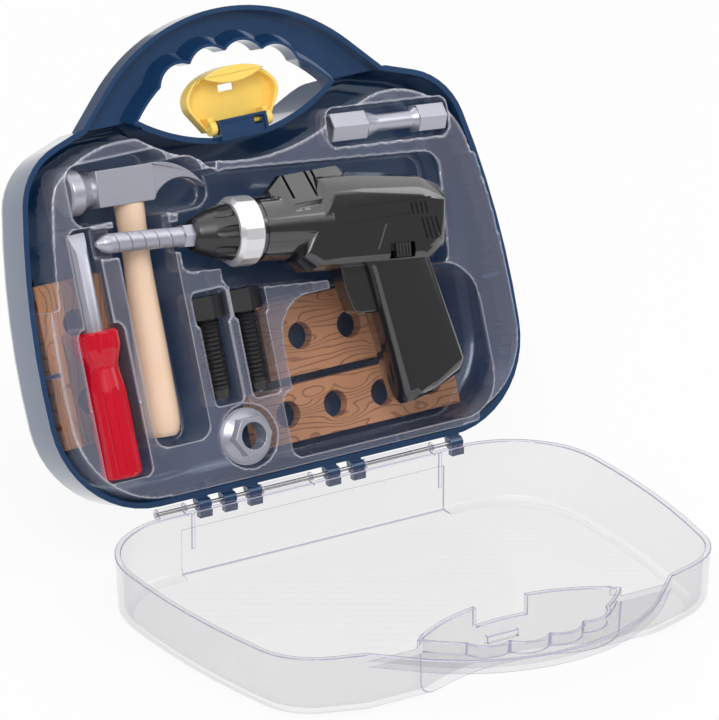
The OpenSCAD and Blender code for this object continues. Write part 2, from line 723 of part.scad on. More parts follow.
trigger_low = -51;
trigger_high = -23;
trigger_half = 6.2;
switch_c = [91, -19];
switch_size = [9, 7.6];
switch_slot = switch_size.x + 2*switch_travel + 2*slip_fit;
bosses = [[55, -19], [106, 12], [106.5, -14], [87, -62], [117, -66]];
screw_depth = 7;
spring_rib = 84.2;
spring_turns = 5;
boss_r = 3.4;
cover_low = -84;
cover_high = -50;

module housing_solid() {
  intersection() {
    union() {
      main_hull(0);
      grip_hull(0);
      barrel(0);
      ridge();
    }
    translate([0, -150, 0]) cube([200, 300, 60]);
  }
}

// Grooves in the side of the housing: two seams, a slanted one and two sets of vents
grooves = [[60, 6.6, 112, 8.5], [56, -2.4, 97, 0.8], [75.8, -17.3, 82.3, -3.5]];
vent_width = 1.2;
module groove(a, width) translate([a[0], a[1], drill_half - 0.7])
  rotate([0, 0, atan2(a[3] - a[1], a[2] - a[0])])
  translate([0, -width/2, 0]) cube([norm([a[2] - a[0], a[3] - a[1]]), width, 5]);
module side_grooves() {
  for (a = grooves) groove(a, 0.8);
  for (i = [0:3]) groove([99.5 + 3*i, 0, 98.5 + 3*i, 6.4], vent_width);
  for (i = [0:3]) groove([104.5 + 2.9*i, -2.4, 107 + 2.9*i, -14.4], vent_width);
}

module housing_half() difference() {
  housing_solid();
  side_grooves();
  difference() {
    translate([0, 0, -e]) {
      main_hull(drill_wall);
      grip_hull(drill_wall);
      barrel(drill_wall);
    }
    for (b = bosses) translate([b.x, b.y, 0]) cylinder(h = drill_half, r = boss_r);
    translate([spring_rib, trigger_low + 2, 0]) cube([1.6, 14, grip_half]);
  }
  for (b = bosses) translate([b.x, b.y, -1]) cylinder(h = screw_depth + 1, r = screw_d/2);
  x_rod(spindle_d/2 + running_fit, 0, main_front_low);
  translate([59, trigger_low - slip_fit, -1])
    cube([31, trigger_high - trigger_low + 2*slip_fit, trigger_half + slip_fit + 1]);
  translate([57, trigger_high - 5, -1]) cube([27, 9, trigger_half + slip_fit + 1]);
}

module drill_front() color(black) drill_frame() difference() {
  housing_half();
  translate([switch_c.x - switch_slot/2, switch_c.y - switch_size.y/2 - slip_fit, drill_half - 6])
    cube([switch_slot, switch_size.y + 2*slip_fit, 10]);
}

cover_half = 8.5;
module drill_back() color(black) drill_frame() difference() {
  mirror([0, 0, 1]) housing_half();
  for (b = bosses) translate([b.x, b.y, -40]) cylinder(h = 40, r = screw_d/2);
  translate([102 - cover_half, cover_low, -grip_half - 1]) cube([2*cover_half, cover_high - cover_low, 6]);
}

module drill_collar() color(black) drill_frame() difference() {
  x_rod(barrel_front_r - 0.6, ring_length/2 + slip_fit, barrel_front);
  x_rod(spindle_d/2 + 1, 0, 20);
}

flute_r = 34;
flute_round = 4;
module drill_chuck() color(black) drill_frame() difference() {
  rotate([0, 90, 0]) rotate_extrude() polygon([[bit_r, -chuck_length - ring_length/2],
    [chuck_nose_r, -chuck_length - ring_length/2], [chuck_nose_r + 1.6, -chuck_length - ring_length/2 + 1.6],
    [chuck_r - 3, -ring_length/2 - 0.55*chuck_length], [chuck_r - 0.8, -ring_length/2 - 0.2*chuck_length],
    [chuck_r, -ring_length/2], [chuck_r - 1, -ring_length/2], [chuck_r - 1, ring_length/2],
    [chuck_r - 3.4, ring_length/2], [chuck_r - 4.4, -ring_length/2 - 9], [bit_r + 2.4, -ring_length/2 - 9],
    [bit_r + 2.4, -ring_length/2 + 2], [spindle_d/2 + 2, -ring_length/2 + 4],
    [spindle_d/2 + 2, ring_length/2], [spindle_d/2, ring_length/2], [spindle_d/2, -ring_length/2],
    [bit_r, -ring_length/2]]);
  for (a = [0:45:315]) rotate([a, 0, 0])
    translate([-ring_length/2 - 0.4*chuck_length, 0, chuck_r - 3.4 + flute_r]) rotate([0, -12, 0])
      rotate([90, 0, 0]) rotate_extrude() translate([flute_r - flute_round, 0]) circle(r = flute_round);
}

module drill_ring() color([0.8, 0.81, 0.83]) drill_frame() difference() {
  intersection() {
    translate([-ring_length/2, 0, 0]) rotate([0, 90, 0]) linear_extrude(height = ring_length)
      polygon([for (i = [0:19]) ring_r*[cos(18*i), sin(18*i)]]);
    rotate([0, 90, 0]) rotate_extrude() polygon([[0, -ring_length/2], [ring_r - 2.2, -ring_length/2],
      [ring_r, -ring_length/2 + 2.6], [ring_r, ring_length/2 - 1.2],
      [ring_r - 1, ring_length/2], [0, ring_length/2]]);
  }
  x_rod(chuck_r - 1, -ring_length, ring_length);
}

bit_front = -chuck_length - ring_length/2 - bit_length;
module drill_bit() color(grey) drill_frame() {
  translate([bit_front + 7, 0, 0]) rotate([0, 90, 0])
    linear_extrude(height = bit_length - 7 - 6, twist = -360*bit_turns, slices = 60, $fn = 28) difference() {
      circle(r = bit_r, $fn = 28);
      translate([bit_r + 0.2, 0]) circle(r = 1, $fn = 8);
    }
  translate([bit_front, 0, 0]) rotate([0, 90, 0]) cylinder(h = 4, r1 = 1.4, r2 = bit_r - 1);
  translate([bit_front + 4, 0, 0]) rotate([0, 90, 0]) cylinder(h = 3 + e, r1 = bit_r - 1, r2 = bit_r - 0.1);
  x_rod(bit_r - 1.2, bit_front + 6, -ring_length/2);
  translate([-chuck_length - ring_length/2 - 6 - e, 0, 0]) rotate([0, 90, 0])
    cylinder(h = 6, r = bit_r*1.25, $fn = 6);
  x_rod(bit_r, -chuck_length - ring_length/2, -ring_length/2);
}

module drill_spindle() color(grey) drill_frame() {
  x_rod(spindle_d/2, -ring_length/2, main_front_low + 2);
  x_rod(spindle_d/2 + 3, barrel_front + 4, barrel_front + 7);
}

gearbox_front = main_front_low + 2 + slip_fit;
module drill_gearbox() color([0.2, 0.2, 0.22]) drill_frame() difference() {
  union() {
    x_rod(motor_d/2 + 2, gearbox_front, gearbox_front + 16);
    translate([gearbox_front + 9, -6, -drill_half + drill_wall + e])
      cube([5, 12, 2*(drill_half - drill_wall - e)]);
  }
  x_rod(motor_d/2, gearbox_front + 14, gearbox_front + 20);
  x_rod(motor_d/2 - 2, gearbox_front + 2, gearbox_front + 20);
}
module drill_motor() color(grey) drill_frame() {
  difference() {
    x_rod(motor_d/2, gearbox_front + 14, gearbox_front + 46);
    x_rod(motor_d/2 - 1.4, gearbox_front + 16, gearbox_front + 50);
  }
  x_rod(motor_d/6, gearbox_front + 15, gearbox_front + 49);
}

module drill_trigger() color([0.09, 0.09, 0.1]) drill_frame()
  translate([0, 0, -trigger_half]) difference() {
  linear_extrude(height = 2*trigger_half) polygon([[57.5, trigger_high], [60, trigger_high - 14],
    [63.5, trigger_low + 2], [66, trigger_low], [79, trigger_low], [79, trigger_high]]);
  translate([74, -45, trigger_half - 2.2]) cube([10, 4.4, 4.4]);
}

module drill_trigger_spring() color(grey) drill_frame() translate([74, -42.8, 0]) rotate([0, 90, 0])
  linear_extrude(height = spring_rib - 74, twist = -360*spring_turns, slices = 60, $fn = 6)
    polygon(concat(arc([0, 0], 1.1, -55, 55, 2), arc([0, 0], 1.9, 55, -55, 2)));

module drill_switch() color([0.09, 0.09, 0.1]) drill_frame()
  translate([switch_c.x, switch_c.y, drill_half]) {
  difference() {
    union() {
      translate([-switch_size.x/2, -switch_size.y/2, -drill_wall - 2])
        cube([switch_size.x, switch_size.y, drill_wall + 2.8]);
      translate([-switch_size.x/2 - 2, 0, -drill_wall - 2])
        cube([switch_size.x + 4, switch_size.y/2 + 2.4, 2 - slip_fit]);
    }
    for (i = [-1.5:1:1.5]) translate([i*2 - 0.45, -switch_size.y, 0.2]) cube([0.9, 2*switch_size.y, 2]);
  }
}

module drill_battery_cover() color(black) drill_frame()
  translate([102 - cover_half + slip_fit, cover_low + slip_fit, -grip_half + drill_wall])
    mirror([0, 0, 1]) cube([2*cover_half - 2*slip_fit, cover_high - cover_low - 2*slip_fit, drill_wall]);

module drill_screws() color(grey) drill_frame() for (b = bosses) translate([b.x, b.y, 0]) {
  depth = b.y < -30 ? grip_half : drill_half;
  translate([0, 0, -depth + 4]) cylinder(h = depth - 4 + screw_depth, r = screw_d/2);
}

// Hammer: the head's tenon plugs the hollow handle
tenon_r = 5.8;
head_wall = 2.4;
module hammer_head() color(grey) hammer_frame() {
  rotate([0, 90, 0]) rotate_extrude() polygon([[0, -39], [hammer_face_r - 1.5, -39], [hammer_face_r, -37.5],
    [hammer_face_r, -31], [hammer_face_r - 1.5, -29.5], [8.5, -25], [8.2, -19], [5.6, -19], [5.6, -35],
    [0, -36]]);
  difference() {
    union() {
      translate([-22, -hammer_cheek/2, -9]) cube([35, hammer_cheek, 18]);
      intersection() {
        translate([14, -25, -8]) cylinder(h = 16, r = 35.2, $fn = 96);
        translate([11, -hammer_cheek/2, -8]) cube([40, hammer_cheek + 2, 16]);
      }
    }
    translate([29, -20, -20]) cylinder(h = 40, r = 20, $fn = 96);
    translate([24, -20, 0]) rotate([90, 0, 0]) mirror([0, 0, 1])
      linear_extrude(height = 40) polygon([[0, -0.8], [24, -2.6], [24, 2.6], [0, 0.8]]);
    translate([0, hammer_cheek/2 - head_wall, 0]) rotate([90, 0, 0])
      cylinder(h = hammer_cheek, r = tenon_r - head_wall + 1);
    x_rod(tenon_r - head_wall + 0.4, -25, 0);
  }
  translate([0, -hammer_cheek/2 + e, 0]) rotate([90, 0, 0]) difference() {
    cylinder(h = 14, r = tenon_r);
    translate([0, 0, -1]) cylinder(h = 16, r = tenon_r - head_wall + 1);
  }
}

module hammer_handle() color([0.88, 0.74, 0.58]) hammer_frame() rotate([90, 0, 0]) rotate_extrude()
  polygon([[tenon_r, hammer_cheek/2], [hammer_grip_r - 2, hammer_cheek/2],
    [hammer_grip_r - 2.4, hammer_cheek/2 + 12], [hammer_grip_r - 2.9, hammer_cheek/2 + 30],
    [hammer_grip_r - 2.1, hammer_cheek/2 + 55], [hammer_grip_r - 1.1, hammer_cheek/2 + 80],
    [hammer_grip_r, hammer_length - 14], [hammer_grip_r - 0.2, hammer_length - 6],
    [hammer_grip_r - 1.2, hammer_length - 2], [hammer_grip_r - 3, hammer_length], [0, hammer_length],
    [0, hammer_length - 4], [tenon_r, hammer_length - 6]]);

// Screwdriver: the blade's shank fills the mouth of the hollow handle
driver_bore_r = 4.6;
module driver_frame() case_frame() translate(driver_at) rotate([-90, 0, 0]) children();
module screwdriver_handle() color([0.82, 0.06, 0.14]) driver_frame() difference() {
  rotate_extrude() polygon([[0, 0], [driver_grip_r - 1.4, 0], [driver_grip_r, 2], [driver_grip_r, 46],
    [driver_grip_r - 1, 55], [driver_grip_r - 1.6, 61], [driver_collar_r - 0.6, 69],
    [driver_collar_r, 71], [driver_collar_r, driver_handle_length - 1.4],
    [driver_collar_r - 1.4, driver_handle_length], [driver_bore_r, driver_handle_length],
    [driver_bore_r, driver_handle_length - 22], [driver_bore_r + 2.4, driver_handle_length - 26],
    [driver_bore_r + 2.4, 8], [driver_bore_r, 5], [0, 4]]);
  for (a = [0:45:315]) rotate([0, 0, a]) translate([driver_grip_r + 1.8, 0, -1]) cylinder(h = 50, r = 2.8);
  for (a = [22.5:45:360]) rotate([0, 0, a]) translate([driver_collar_r + 1.6, 0, 66])
    cylinder(h = 20, r = 2.4);
}

module screwdriver_blade() color(grey) driver_frame() {
  translate([0, 0, driver_handle_length - 22]) cylinder(h = 22 + e, r = driver_bore_r);
  difference() {
    translate([0, 0, driver_handle_length]) cylinder(h = driver_blade_length, r = driver_blade_r);
    for (s = [-1, 1]) translate([0, s*(driver_blade_r + 1), driver_handle_length + driver_blade_length - 16])
      rotate([s*17, 0, 0]) translate([-10, s > 0 ? 0 : -20, 0]) cube([20, 20, 30]);
  }
}

module hex_rod(flats, a, length) translate([a, 0, 0]) rotate([0, 90, 0])
  cylinder(h = length, r = flats/sqrt(3), $fn = 6);

module socket_tool() color(grey) case_frame()
  translate(socket_at) rotate([0, 0, socket_tilt]) difference() {
  union() {
    hex_rod(socket_flats, -socket_length/2, 22);
    hex_rod(socket_flats - 1, socket_length/2 - 17, 17);
    translate([-socket_length/2 + 22 - e, 0, 0]) rotate([0, 90, 0])
      cylinder(h = 9, r1 = socket_flats/2, r2 = 4.7);
    translate([socket_length/2 - 20, 0, 0]) rotate([0, 90, 0]) cylinder(h = 3 + e, r1 = 4.7, r2 = 6.6);
    x_rod(4.7, -socket_length/2 + 18, socket_length/2 - 20);
  }
  hex_rod(socket_flats - 3.5, -socket_length/2 - 1, 13);
  hex_rod(socket_flats - 4.5, socket_length/2 - 13, 14);
}

bolt_head = 12;
thread_count = floor((bolt_length - bolt_head - 4)/bolt_pitch);
thread_root = bolt_d/2 - 1.1;
bolt_core = 3.4;
module bolt(x) case_frame() translate([x, bolt_top, bolt_z]) rotate([90, 0, 0]) {
  rotate([0, 0, 30]) cylinder(h = bolt_head, r = bolt_flats/sqrt(3), $fn = 6);
  rotate_extrude() polygon(concat([[bolt_core, bolt_head - e], [thread_root, bolt_head - e]],
    [for (i = [0:thread_count - 1], k = [0, 1])
      [k == 0 ? thread_root : bolt_d/2, bolt_head + 1 + bolt_pitch*(i + 0.5*k)]],
    [[thread_root, bolt_head + 1 + bolt_pitch*thread_count], [thread_root - 1, bolt_length],
      [bolt_core, bolt_length]]));
}
module bolt_left() color(black) bolt(bolt_left_x);
module bolt_right() color(black) bolt(bolt_right_x);

nut_bore_r = bolt_d/2 + thread_gap;
module nut() color(grey) case_frame() translate(nut_at) difference() {
  union() {
    cylinder(h = 2.4, r = nut_flange_r);
    translate([0, 0, 2.4]) cylinder(h = 3, r1 = nut_flange_r - 1.4, r2 = nut_flats/2);
    cylinder(h = nut_height, r = nut_flats/sqrt(3), $fn = 6);
  }
  translate([0, 0, -1]) cylinder(h = nut_height + 2, r = nut_bore_r);
}

lid_shell();
hinge_pin();
case_shell();
latch();
latch_pin();
tray();
plank_left();
plank_upper();
plank_lower();
drill_front();
drill_back();
drill_collar();
drill_chuck();
drill_ring();
drill_bit();
drill_spindle();
drill_motor();
drill_gearbox();
drill_trigger();
drill_trigger_spring();
drill_switch();
drill_battery_cover();
drill_screws();
hammer_head();
hammer_handle();
screwdriver_handle();
screwdriver_blade();
socket_tool();
bolt_left();
bolt_right();
nut();
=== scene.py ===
"""Studio scene of a toy tool case that stands open on its clear lid.

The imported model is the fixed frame. Every visible piece is a dressed form of one of its nodes, in metres, and
rides on that node's body. Lengths in the classes below are millimetres unless a name says otherwise.
"""

from __future__ import annotations

import json
import logging
import math
from dataclasses import dataclass, field
from enum import Enum

import bmesh
import bpy
from mathutils import Matrix, Vector
from mathutils.kdtree import KDTree

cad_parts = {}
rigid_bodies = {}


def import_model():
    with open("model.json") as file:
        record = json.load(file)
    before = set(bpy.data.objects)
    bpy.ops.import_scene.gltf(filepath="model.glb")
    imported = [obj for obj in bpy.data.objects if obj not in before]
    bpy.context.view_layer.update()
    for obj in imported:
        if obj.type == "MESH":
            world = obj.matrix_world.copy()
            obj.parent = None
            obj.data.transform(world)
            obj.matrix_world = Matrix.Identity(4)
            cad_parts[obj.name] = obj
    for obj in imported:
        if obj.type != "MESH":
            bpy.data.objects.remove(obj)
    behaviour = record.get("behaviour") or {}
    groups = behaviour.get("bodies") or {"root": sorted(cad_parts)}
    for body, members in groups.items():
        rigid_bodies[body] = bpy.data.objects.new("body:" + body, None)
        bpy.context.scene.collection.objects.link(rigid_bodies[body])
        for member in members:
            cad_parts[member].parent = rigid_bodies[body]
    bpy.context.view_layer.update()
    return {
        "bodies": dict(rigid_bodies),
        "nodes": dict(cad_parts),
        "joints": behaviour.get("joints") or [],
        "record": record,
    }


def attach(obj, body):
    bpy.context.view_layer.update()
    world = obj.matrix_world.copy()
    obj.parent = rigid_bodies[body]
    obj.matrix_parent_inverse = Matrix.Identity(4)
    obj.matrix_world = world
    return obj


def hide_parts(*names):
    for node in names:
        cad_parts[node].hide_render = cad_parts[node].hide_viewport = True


LOG = logging.getLogger("tool_case")
MM = 0.001
FOLDS = "folds"
FLAT = "flat"
BEVEL = "bevel_weight_edge"
WELD_M = 2e-6
SLIVER_M = 1e-6
LEVEL_DEGREES = 0.4
COAT_ROUGHNESS = 0.05
CLEAR_COAT_ROUGHNESS = 0.04
GLOSS_SPREAD = 0.06
HEM_SLACK = 0.02
DOWNWARD = -0.5


class Grain(Enum):
    """The way the engraved grain of a plank runs, as a turn of the case frame in degrees."""

    ACROSS = 0.0
    UPRIGHT = 90.0


@dataclass(frozen=True)
class CasePlane:
    """The frame of the leaning case: u along the hinge, v up the case, w out towards the front.

    Attributes:
        lean: backward lean of the open case in degrees.
        hinge: a point on the hinge axis, in millimetres of the row frame.
    """

    lean: float = 21.8
    hinge: tuple[float, float, float] = (0.0, 105.0, 37.0)

    def matrix(self) -> Matrix:
        """Matrix from millimetres of the case frame to metres of the row frame."""
        turn = Matrix.Rotation(math.radians(90.0 - self.lean), 4, "X")
        return Matrix.Scale(MM, 4) @ Matrix.Translation(Vector(self.hinge)) @ turn


class NodeSheet:
    """A node tree with short helpers to place and join nodes."""

    def __init__(self, tree: bpy.types.NodeTree) -> None:
        """Starts an empty sheet.

        Args:
            tree: the material's, world's or group's node tree.
        """
        self.tree = tree
        tree.nodes.clear()

    def add(self, kind: str, settings: dict | None = None, **inputs: object) -> bpy.types.Node:
        """Adds a node.

        Args:
            kind: Blender's type name of the node.
            settings: attributes of the node itself.
            inputs: socket values or sockets to join; underscores in names stand for spaces.

        Returns:
            The new node.
        """
        node = self.tree.nodes.new(kind)
        for key, value in (settings or {}).items():
            setattr(node, key, value)
        for key, value in inputs.items():
            self.put(node.inputs[key.replace("_", " ")], value)
        return node

    def put(self, socket: bpy.types.NodeSocket, value: object) -> None:
        """Joins a socket to an input or sets the input's value."""
        if isinstance(value, bpy.types.NodeSocket):
            self.tree.links.new(value, socket)
        else:
            socket.default_value = value

    def math(self, operation: str, *values: object) -> bpy.types.NodeSocket:
        """Adds a math node.

        Args:
            operation: Blender's name of the operation.
            values: the operands, numbers or sockets.

        Returns:
            The node's output socket.
        """
        node = self.add("ShaderNodeMath", {"operation": operation})
        for place, value in enumerate(values):
            self.put(node.inputs[place], value)
        return node.outputs[0]

    def blend(self, share: object, first: object, second: object, mode: str = "MIX") -> bpy.types.NodeSocket:
        """Adds a colour mix.

        Args:
            share: how much of the second colour shows.
            first: first colour or socket.
            second: second colour or socket.
            mode: Blender's name of the blend mode.

        Returns:
            The mixed colour's socket.
        """
        node = self.add("ShaderNodeMix", {"data_type": "RGBA", "blend_type": mode})
        self.put(node.inputs[0], share)
        self.put(node.inputs[6], first)
        self.put(node.inputs[7], second)
        return node.outputs[2]

    def ramp(self, value: object, low: float, high: float) -> bpy.types.NodeSocket:
        """Maps a value to a smooth step between two levels and returns its socket."""
        node = self.add("ShaderNodeMapRange", {"interpolation_type": "SMOOTHSTEP"})
        self.put(node.inputs[0], value)
        node.inputs[1].default_value = low
        node.inputs[2].default_value = high
        return node.outputs[0]


def shade(colour: tuple[float, float, float], factor: float = 1.0) -> tuple[float, float, float, float]:
    """Returns a colour, made lighter or darker by a factor, with full alpha."""
    return (colour[0] * factor, colour[1] * factor, colour[2] * factor, 1.0)


class Effects:
    """The shader node groups that several finishes share, each built once."""

    @staticmethod
    def _new(name: str, inputs: dict[str, str], outputs: dict[str, str]) -> bpy.types.NodeTree:
        """Makes an empty group with named sockets.

        Args:
            name: the group's name.
            inputs: socket name to socket type.
            outputs: socket name to socket type.

        Returns:
            The group's tree.
        """
        tree = bpy.data.node_groups.new(name, "ShaderNodeTree")
        for label, kind in inputs.items():
            tree.interface.new_socket(label, in_out="INPUT", socket_type=kind)
        for label, kind in outputs.items():
            tree.interface.new_socket(label, in_out="OUTPUT", socket_type=kind)
        return tree

    @classmethod
    def moulded(cls) -> bpy.types.NodeTree:
        """Tone, gloss and skin of a moulded plastic: slow clouds of tone, fine speckle and faint scuffs."""
        if "moulded skin" in bpy.data.node_groups:
            return bpy.data.node_groups["moulded skin"]
        tree = cls._new("moulded skin", {
            "Colour": "NodeSocketColor", "Cloud": "NodeSocketFloat", "Speckle": "NodeSocketFloat",
            "Gloss": "NodeSocketFloat", "Scuff": "NodeSocketFloat"},
            {"Colour": "NodeSocketColor", "Roughness": "NodeSocketFloat", "Height": "NodeSocketFloat"})
        sheet = NodeSheet(tree)
        given = sheet.add("NodeGroupInput").outputs
        spot = sheet.add("ShaderNodeTexCoord").outputs["Object"]
        cloud = sheet.add("ShaderNodeTexNoise", Vector=spot, Scale=24.0, Detail=2.0).outputs["Fac"]
        grit = sheet.add("ShaderNodeTexNoise", Vector=spot, Scale=1900.0, Detail=2.0).outputs["Fac"]
        scratch_at = sheet.add("ShaderNodeMapping", Vector=spot, Scale=(60.0, 900.0, 240.0),
                               Rotation=(0.3, 0.5, 0.9)).outputs[0]
        scratch = sheet.add("ShaderNodeTexNoise", Vector=scratch_at, Scale=1.0, Detail=3.0).outputs["Fac"]
        scuff = sheet.math("MULTIPLY", sheet.ramp(scratch, 0.66, 0.78), given["Scuff"])
        lift = sheet.math("MULTIPLY", sheet.math("SUBTRACT", cloud, 0.5), given["Cloud"])
        fleck = sheet.math("MULTIPLY", sheet.math("SUBTRACT", grit, 0.5), given["Speckle"])
        gain = sheet.math("ADD", 1.0, sheet.math("ADD", lift, fleck))
        gain = sheet.math("ADD", gain, sheet.math("MULTIPLY", scuff, 0.6))
        grey = sheet.add("ShaderNodeCombineColor", Red=gain, Green=gain, Blue=gain).outputs[0]
        colour = sheet.blend(1.0, given["Colour"], grey, "MULTIPLY")
        spread = sheet.math("MULTIPLY", sheet.math("SUBTRACT", cloud, 0.5), GLOSS_SPREAD)
        rough = sheet.math("ADD", given["Gloss"], spread)
        rough = sheet.math("ADD", rough, sheet.math("MULTIPLY", scuff, 0.35))
        sheet.add("NodeGroupOutput", Colour=colour, Roughness=rough, Height=grit)
        return tree

    @classmethod
    def engraved(cls) -> bpy.types.NodeTree:
        """Engraved wood grain with knots, in a flat frame whose X runs along the plank, in millimetres."""
        if "engraved grain" in bpy.data.node_groups:
            return bpy.data.node_groups["engraved grain"]
        tree = cls._new("engraved grain", {"Vector": "NodeSocketVector", "Pitch": "NodeSocketFloat"},
                        {"Line": "NodeSocketFloat", "Tone": "NodeSocketFloat"})
        sheet = NodeSheet(tree)
        given = sheet.add("NodeGroupInput").outputs
        flat = sheet.add("ShaderNodeMapping", Vector=given["Vector"], Scale=(1.0, 1.0, 0.0)).outputs[0]
        cell_at = sheet.add("ShaderNodeMapping", Vector=flat, Scale=(0.026, 0.062, 0.0)).outputs[0]
        cell = sheet.add("ShaderNodeTexVoronoi", {"feature": "F1", "voronoi_dimensions": "2D"},
                         Vector=cell_at, Scale=1.0, Randomness=0.8).outputs["Distance"]
        slow_at = sheet.add("ShaderNodeMapping", Vector=flat, Scale=(0.02, 0.06, 0.0)).outputs[0]
        slow = sheet.add("ShaderNodeTexNoise", Vector=slow_at, Scale=1.0, Detail=1.5).outputs["Fac"]
        across = sheet.add("ShaderNodeSeparateXYZ", Vector=flat).outputs["Y"]
        knot = sheet.math("MULTIPLY", sheet.ramp(cell, 0.46, 0.0), 7.0)
        bent = sheet.math("ADD", across, sheet.math("MULTIPLY", slow, 16.0))
        bent = sheet.math("ADD", bent, knot)
        turn = sheet.math("FRACT", sheet.math("DIVIDE", bent, given["Pitch"]))
        edge = sheet.math("ABSOLUTE", sheet.math("SUBTRACT", turn, 0.5))
        sheet.add("NodeGroupOutput", Line=sheet.ramp(edge, 0.14, 0.05), Tone=slow)
        return tree


@dataclass(frozen=True)
class Moulded:
    """A moulded plastic finish.

    Attributes:
        name: name of the material.
        colour: base colour, linear.
        gloss: mean roughness.
        cloud: depth of the slow tone clouds.
        speckle: depth of the fine speckle.
        scuff: strength of the faint scuffs.
        skin: depth of the fine skin in millimetres.
        metal: metallic share.
        coat: weight of the gloss coat.
        level: specular level.
        glint: colour of the highlights, linear.
    """

    name: str
    colour: tuple[float, float, float]
    gloss: float = 0.2
    cloud: float = 0.12
    speckle: float = 0.06
    scuff: float = 0.05
    skin: float = 0.01
    metal: float = 0.0
    coat: float = 0.0
    level: float = 0.5
    glint: tuple[float, float, float] = (1.0, 1.0, 1.0)

    def material(self) -> bpy.types.Material:
        """Builds the material on first use and returns it."""
        if self.name in bpy.data.materials:
            return bpy.data.materials[self.name]
        made = bpy.data.materials.new(self.name)
        made.use_nodes = True
        sheet = NodeSheet(made.node_tree)
        skin = sheet.add("ShaderNodeGroup", {"node_tree": Effects.moulded()}, Colour=shade(self.colour),
                         Cloud=self.cloud, Speckle=self.speckle, Gloss=self.gloss, Scuff=self.scuff).outputs
        bump = sheet.add("ShaderNodeBump", Height=skin["Height"], Strength=0.25, Distance=self.skin * MM)
        body = sheet.add("ShaderNodeBsdfPrincipled", Base_Color=skin["Colour"], Roughness=skin["Roughness"],
                         Metallic=self.metal, Coat_Weight=self.coat, Coat_Roughness=COAT_ROUGHNESS,
                         Specular_IOR_Level=self.level, Specular_Tint=shade(self.glint),
                         Normal=bump.outputs[0])
        sheet.add("ShaderNodeOutputMaterial", Surface=body.outputs[0])
        return made


@dataclass(frozen=True)
class Clear:
    """A thin clear plastic: a slight haze, with a painted highlight along folds and painted reflection at a
    glancing look and on the raised flat.

    Attributes:
        name: name of the material.
        tint: colour of the haze, linear.
        edge: colour of the painted highlight along folds and of the painted reflection at a glancing look,
            linear.
        haze: how much of the plastic shows where it is looked at straight.
        glance: how much more shows at a glancing look, as painted reflection.
        focus: how closely that keeps to the glancing look, as a power.
        fold_highlight: how much more shows along folds, as a painted highlight.
        flat: how much more shows on the raised flat of a formed sheet, as painted reflection.
        gloss: mean roughness.
        ripple: depth of the slow ripples of the surface in millimetres.
        wave: size of the ripples, as a noise scale.
    """

    name: str
    tint: tuple[float, float, float]
    edge: tuple[float, float, float]
    haze: float = 0.05
    glance: float = 0.25
    focus: float = 3.0
    fold_highlight: float = 0.3
    flat: float = 0.0
    gloss: float = 0.08
    ripple: float = 0.08
    wave: float = 70.0

    def material(self) -> bpy.types.Material:
        """Builds the material on first use and returns it."""
        if self.name in bpy.data.materials:
            return bpy.data.materials[self.name]
        made = bpy.data.materials.new(self.name)
        made.use_nodes = True
        sheet = NodeSheet(made.node_tree)
        spot = sheet.add("ShaderNodeTexCoord").outputs["Object"]
        wave = sheet.add("ShaderNodeTexNoise", Vector=spot, Scale=self.wave, Detail=1.0).outputs["Fac"]
        bump = sheet.add("ShaderNodeBump", Height=wave, Strength=0.5, Distance=self.ripple * MM)
        facing = sheet.add("ShaderNodeLayerWeight", Blend=0.5, Normal=bump.outputs[0]).outputs["Facing"]
        # Painted reflection: the plastic shows more, in its edge colour, at a glancing look.
        glance = sheet.math("POWER", facing, self.focus)
        # Painted highlight along the folds of the sheet.
        folds = sheet.add("ShaderNodeAttribute", {"attribute_name": FOLDS}).outputs["Fac"]
        shown = sheet.math("ADD", self.haze, sheet.math("MULTIPLY", glance, self.glance))
        shown = sheet.math("ADD", shown, sheet.math("MULTIPLY", folds, self.fold_highlight))
        # Painted reflection on the raised flat of the tray.
        raised = sheet.add("ShaderNodeAttribute", {"attribute_name": FLAT}).outputs["Fac"]
        shown = sheet.math("ADD", shown, sheet.math("MULTIPLY", raised, self.flat))
        # The colour turns to the edge colour wherever the painted reflection and the painted highlight show.
        colour = sheet.blend(sheet.math("MAXIMUM", glance, folds), shade(self.tint), shade(self.edge))
        spread = sheet.math("MULTIPLY", sheet.math("SUBTRACT", wave, 0.5), GLOSS_SPREAD)
        rough = sheet.math("ADD", self.gloss, spread)
        body = sheet.add("ShaderNodeBsdfPrincipled", Base_Color=colour, Roughness=rough, Alpha=shown,
                         Specular_IOR_Level=1.0, Coat_Weight=1.0, Coat_Roughness=CLEAR_COAT_ROUGHNESS,
                         Normal=bump.outputs[0])
        sheet.add("ShaderNodeOutputMaterial", Surface=body.outputs[0])
        return made


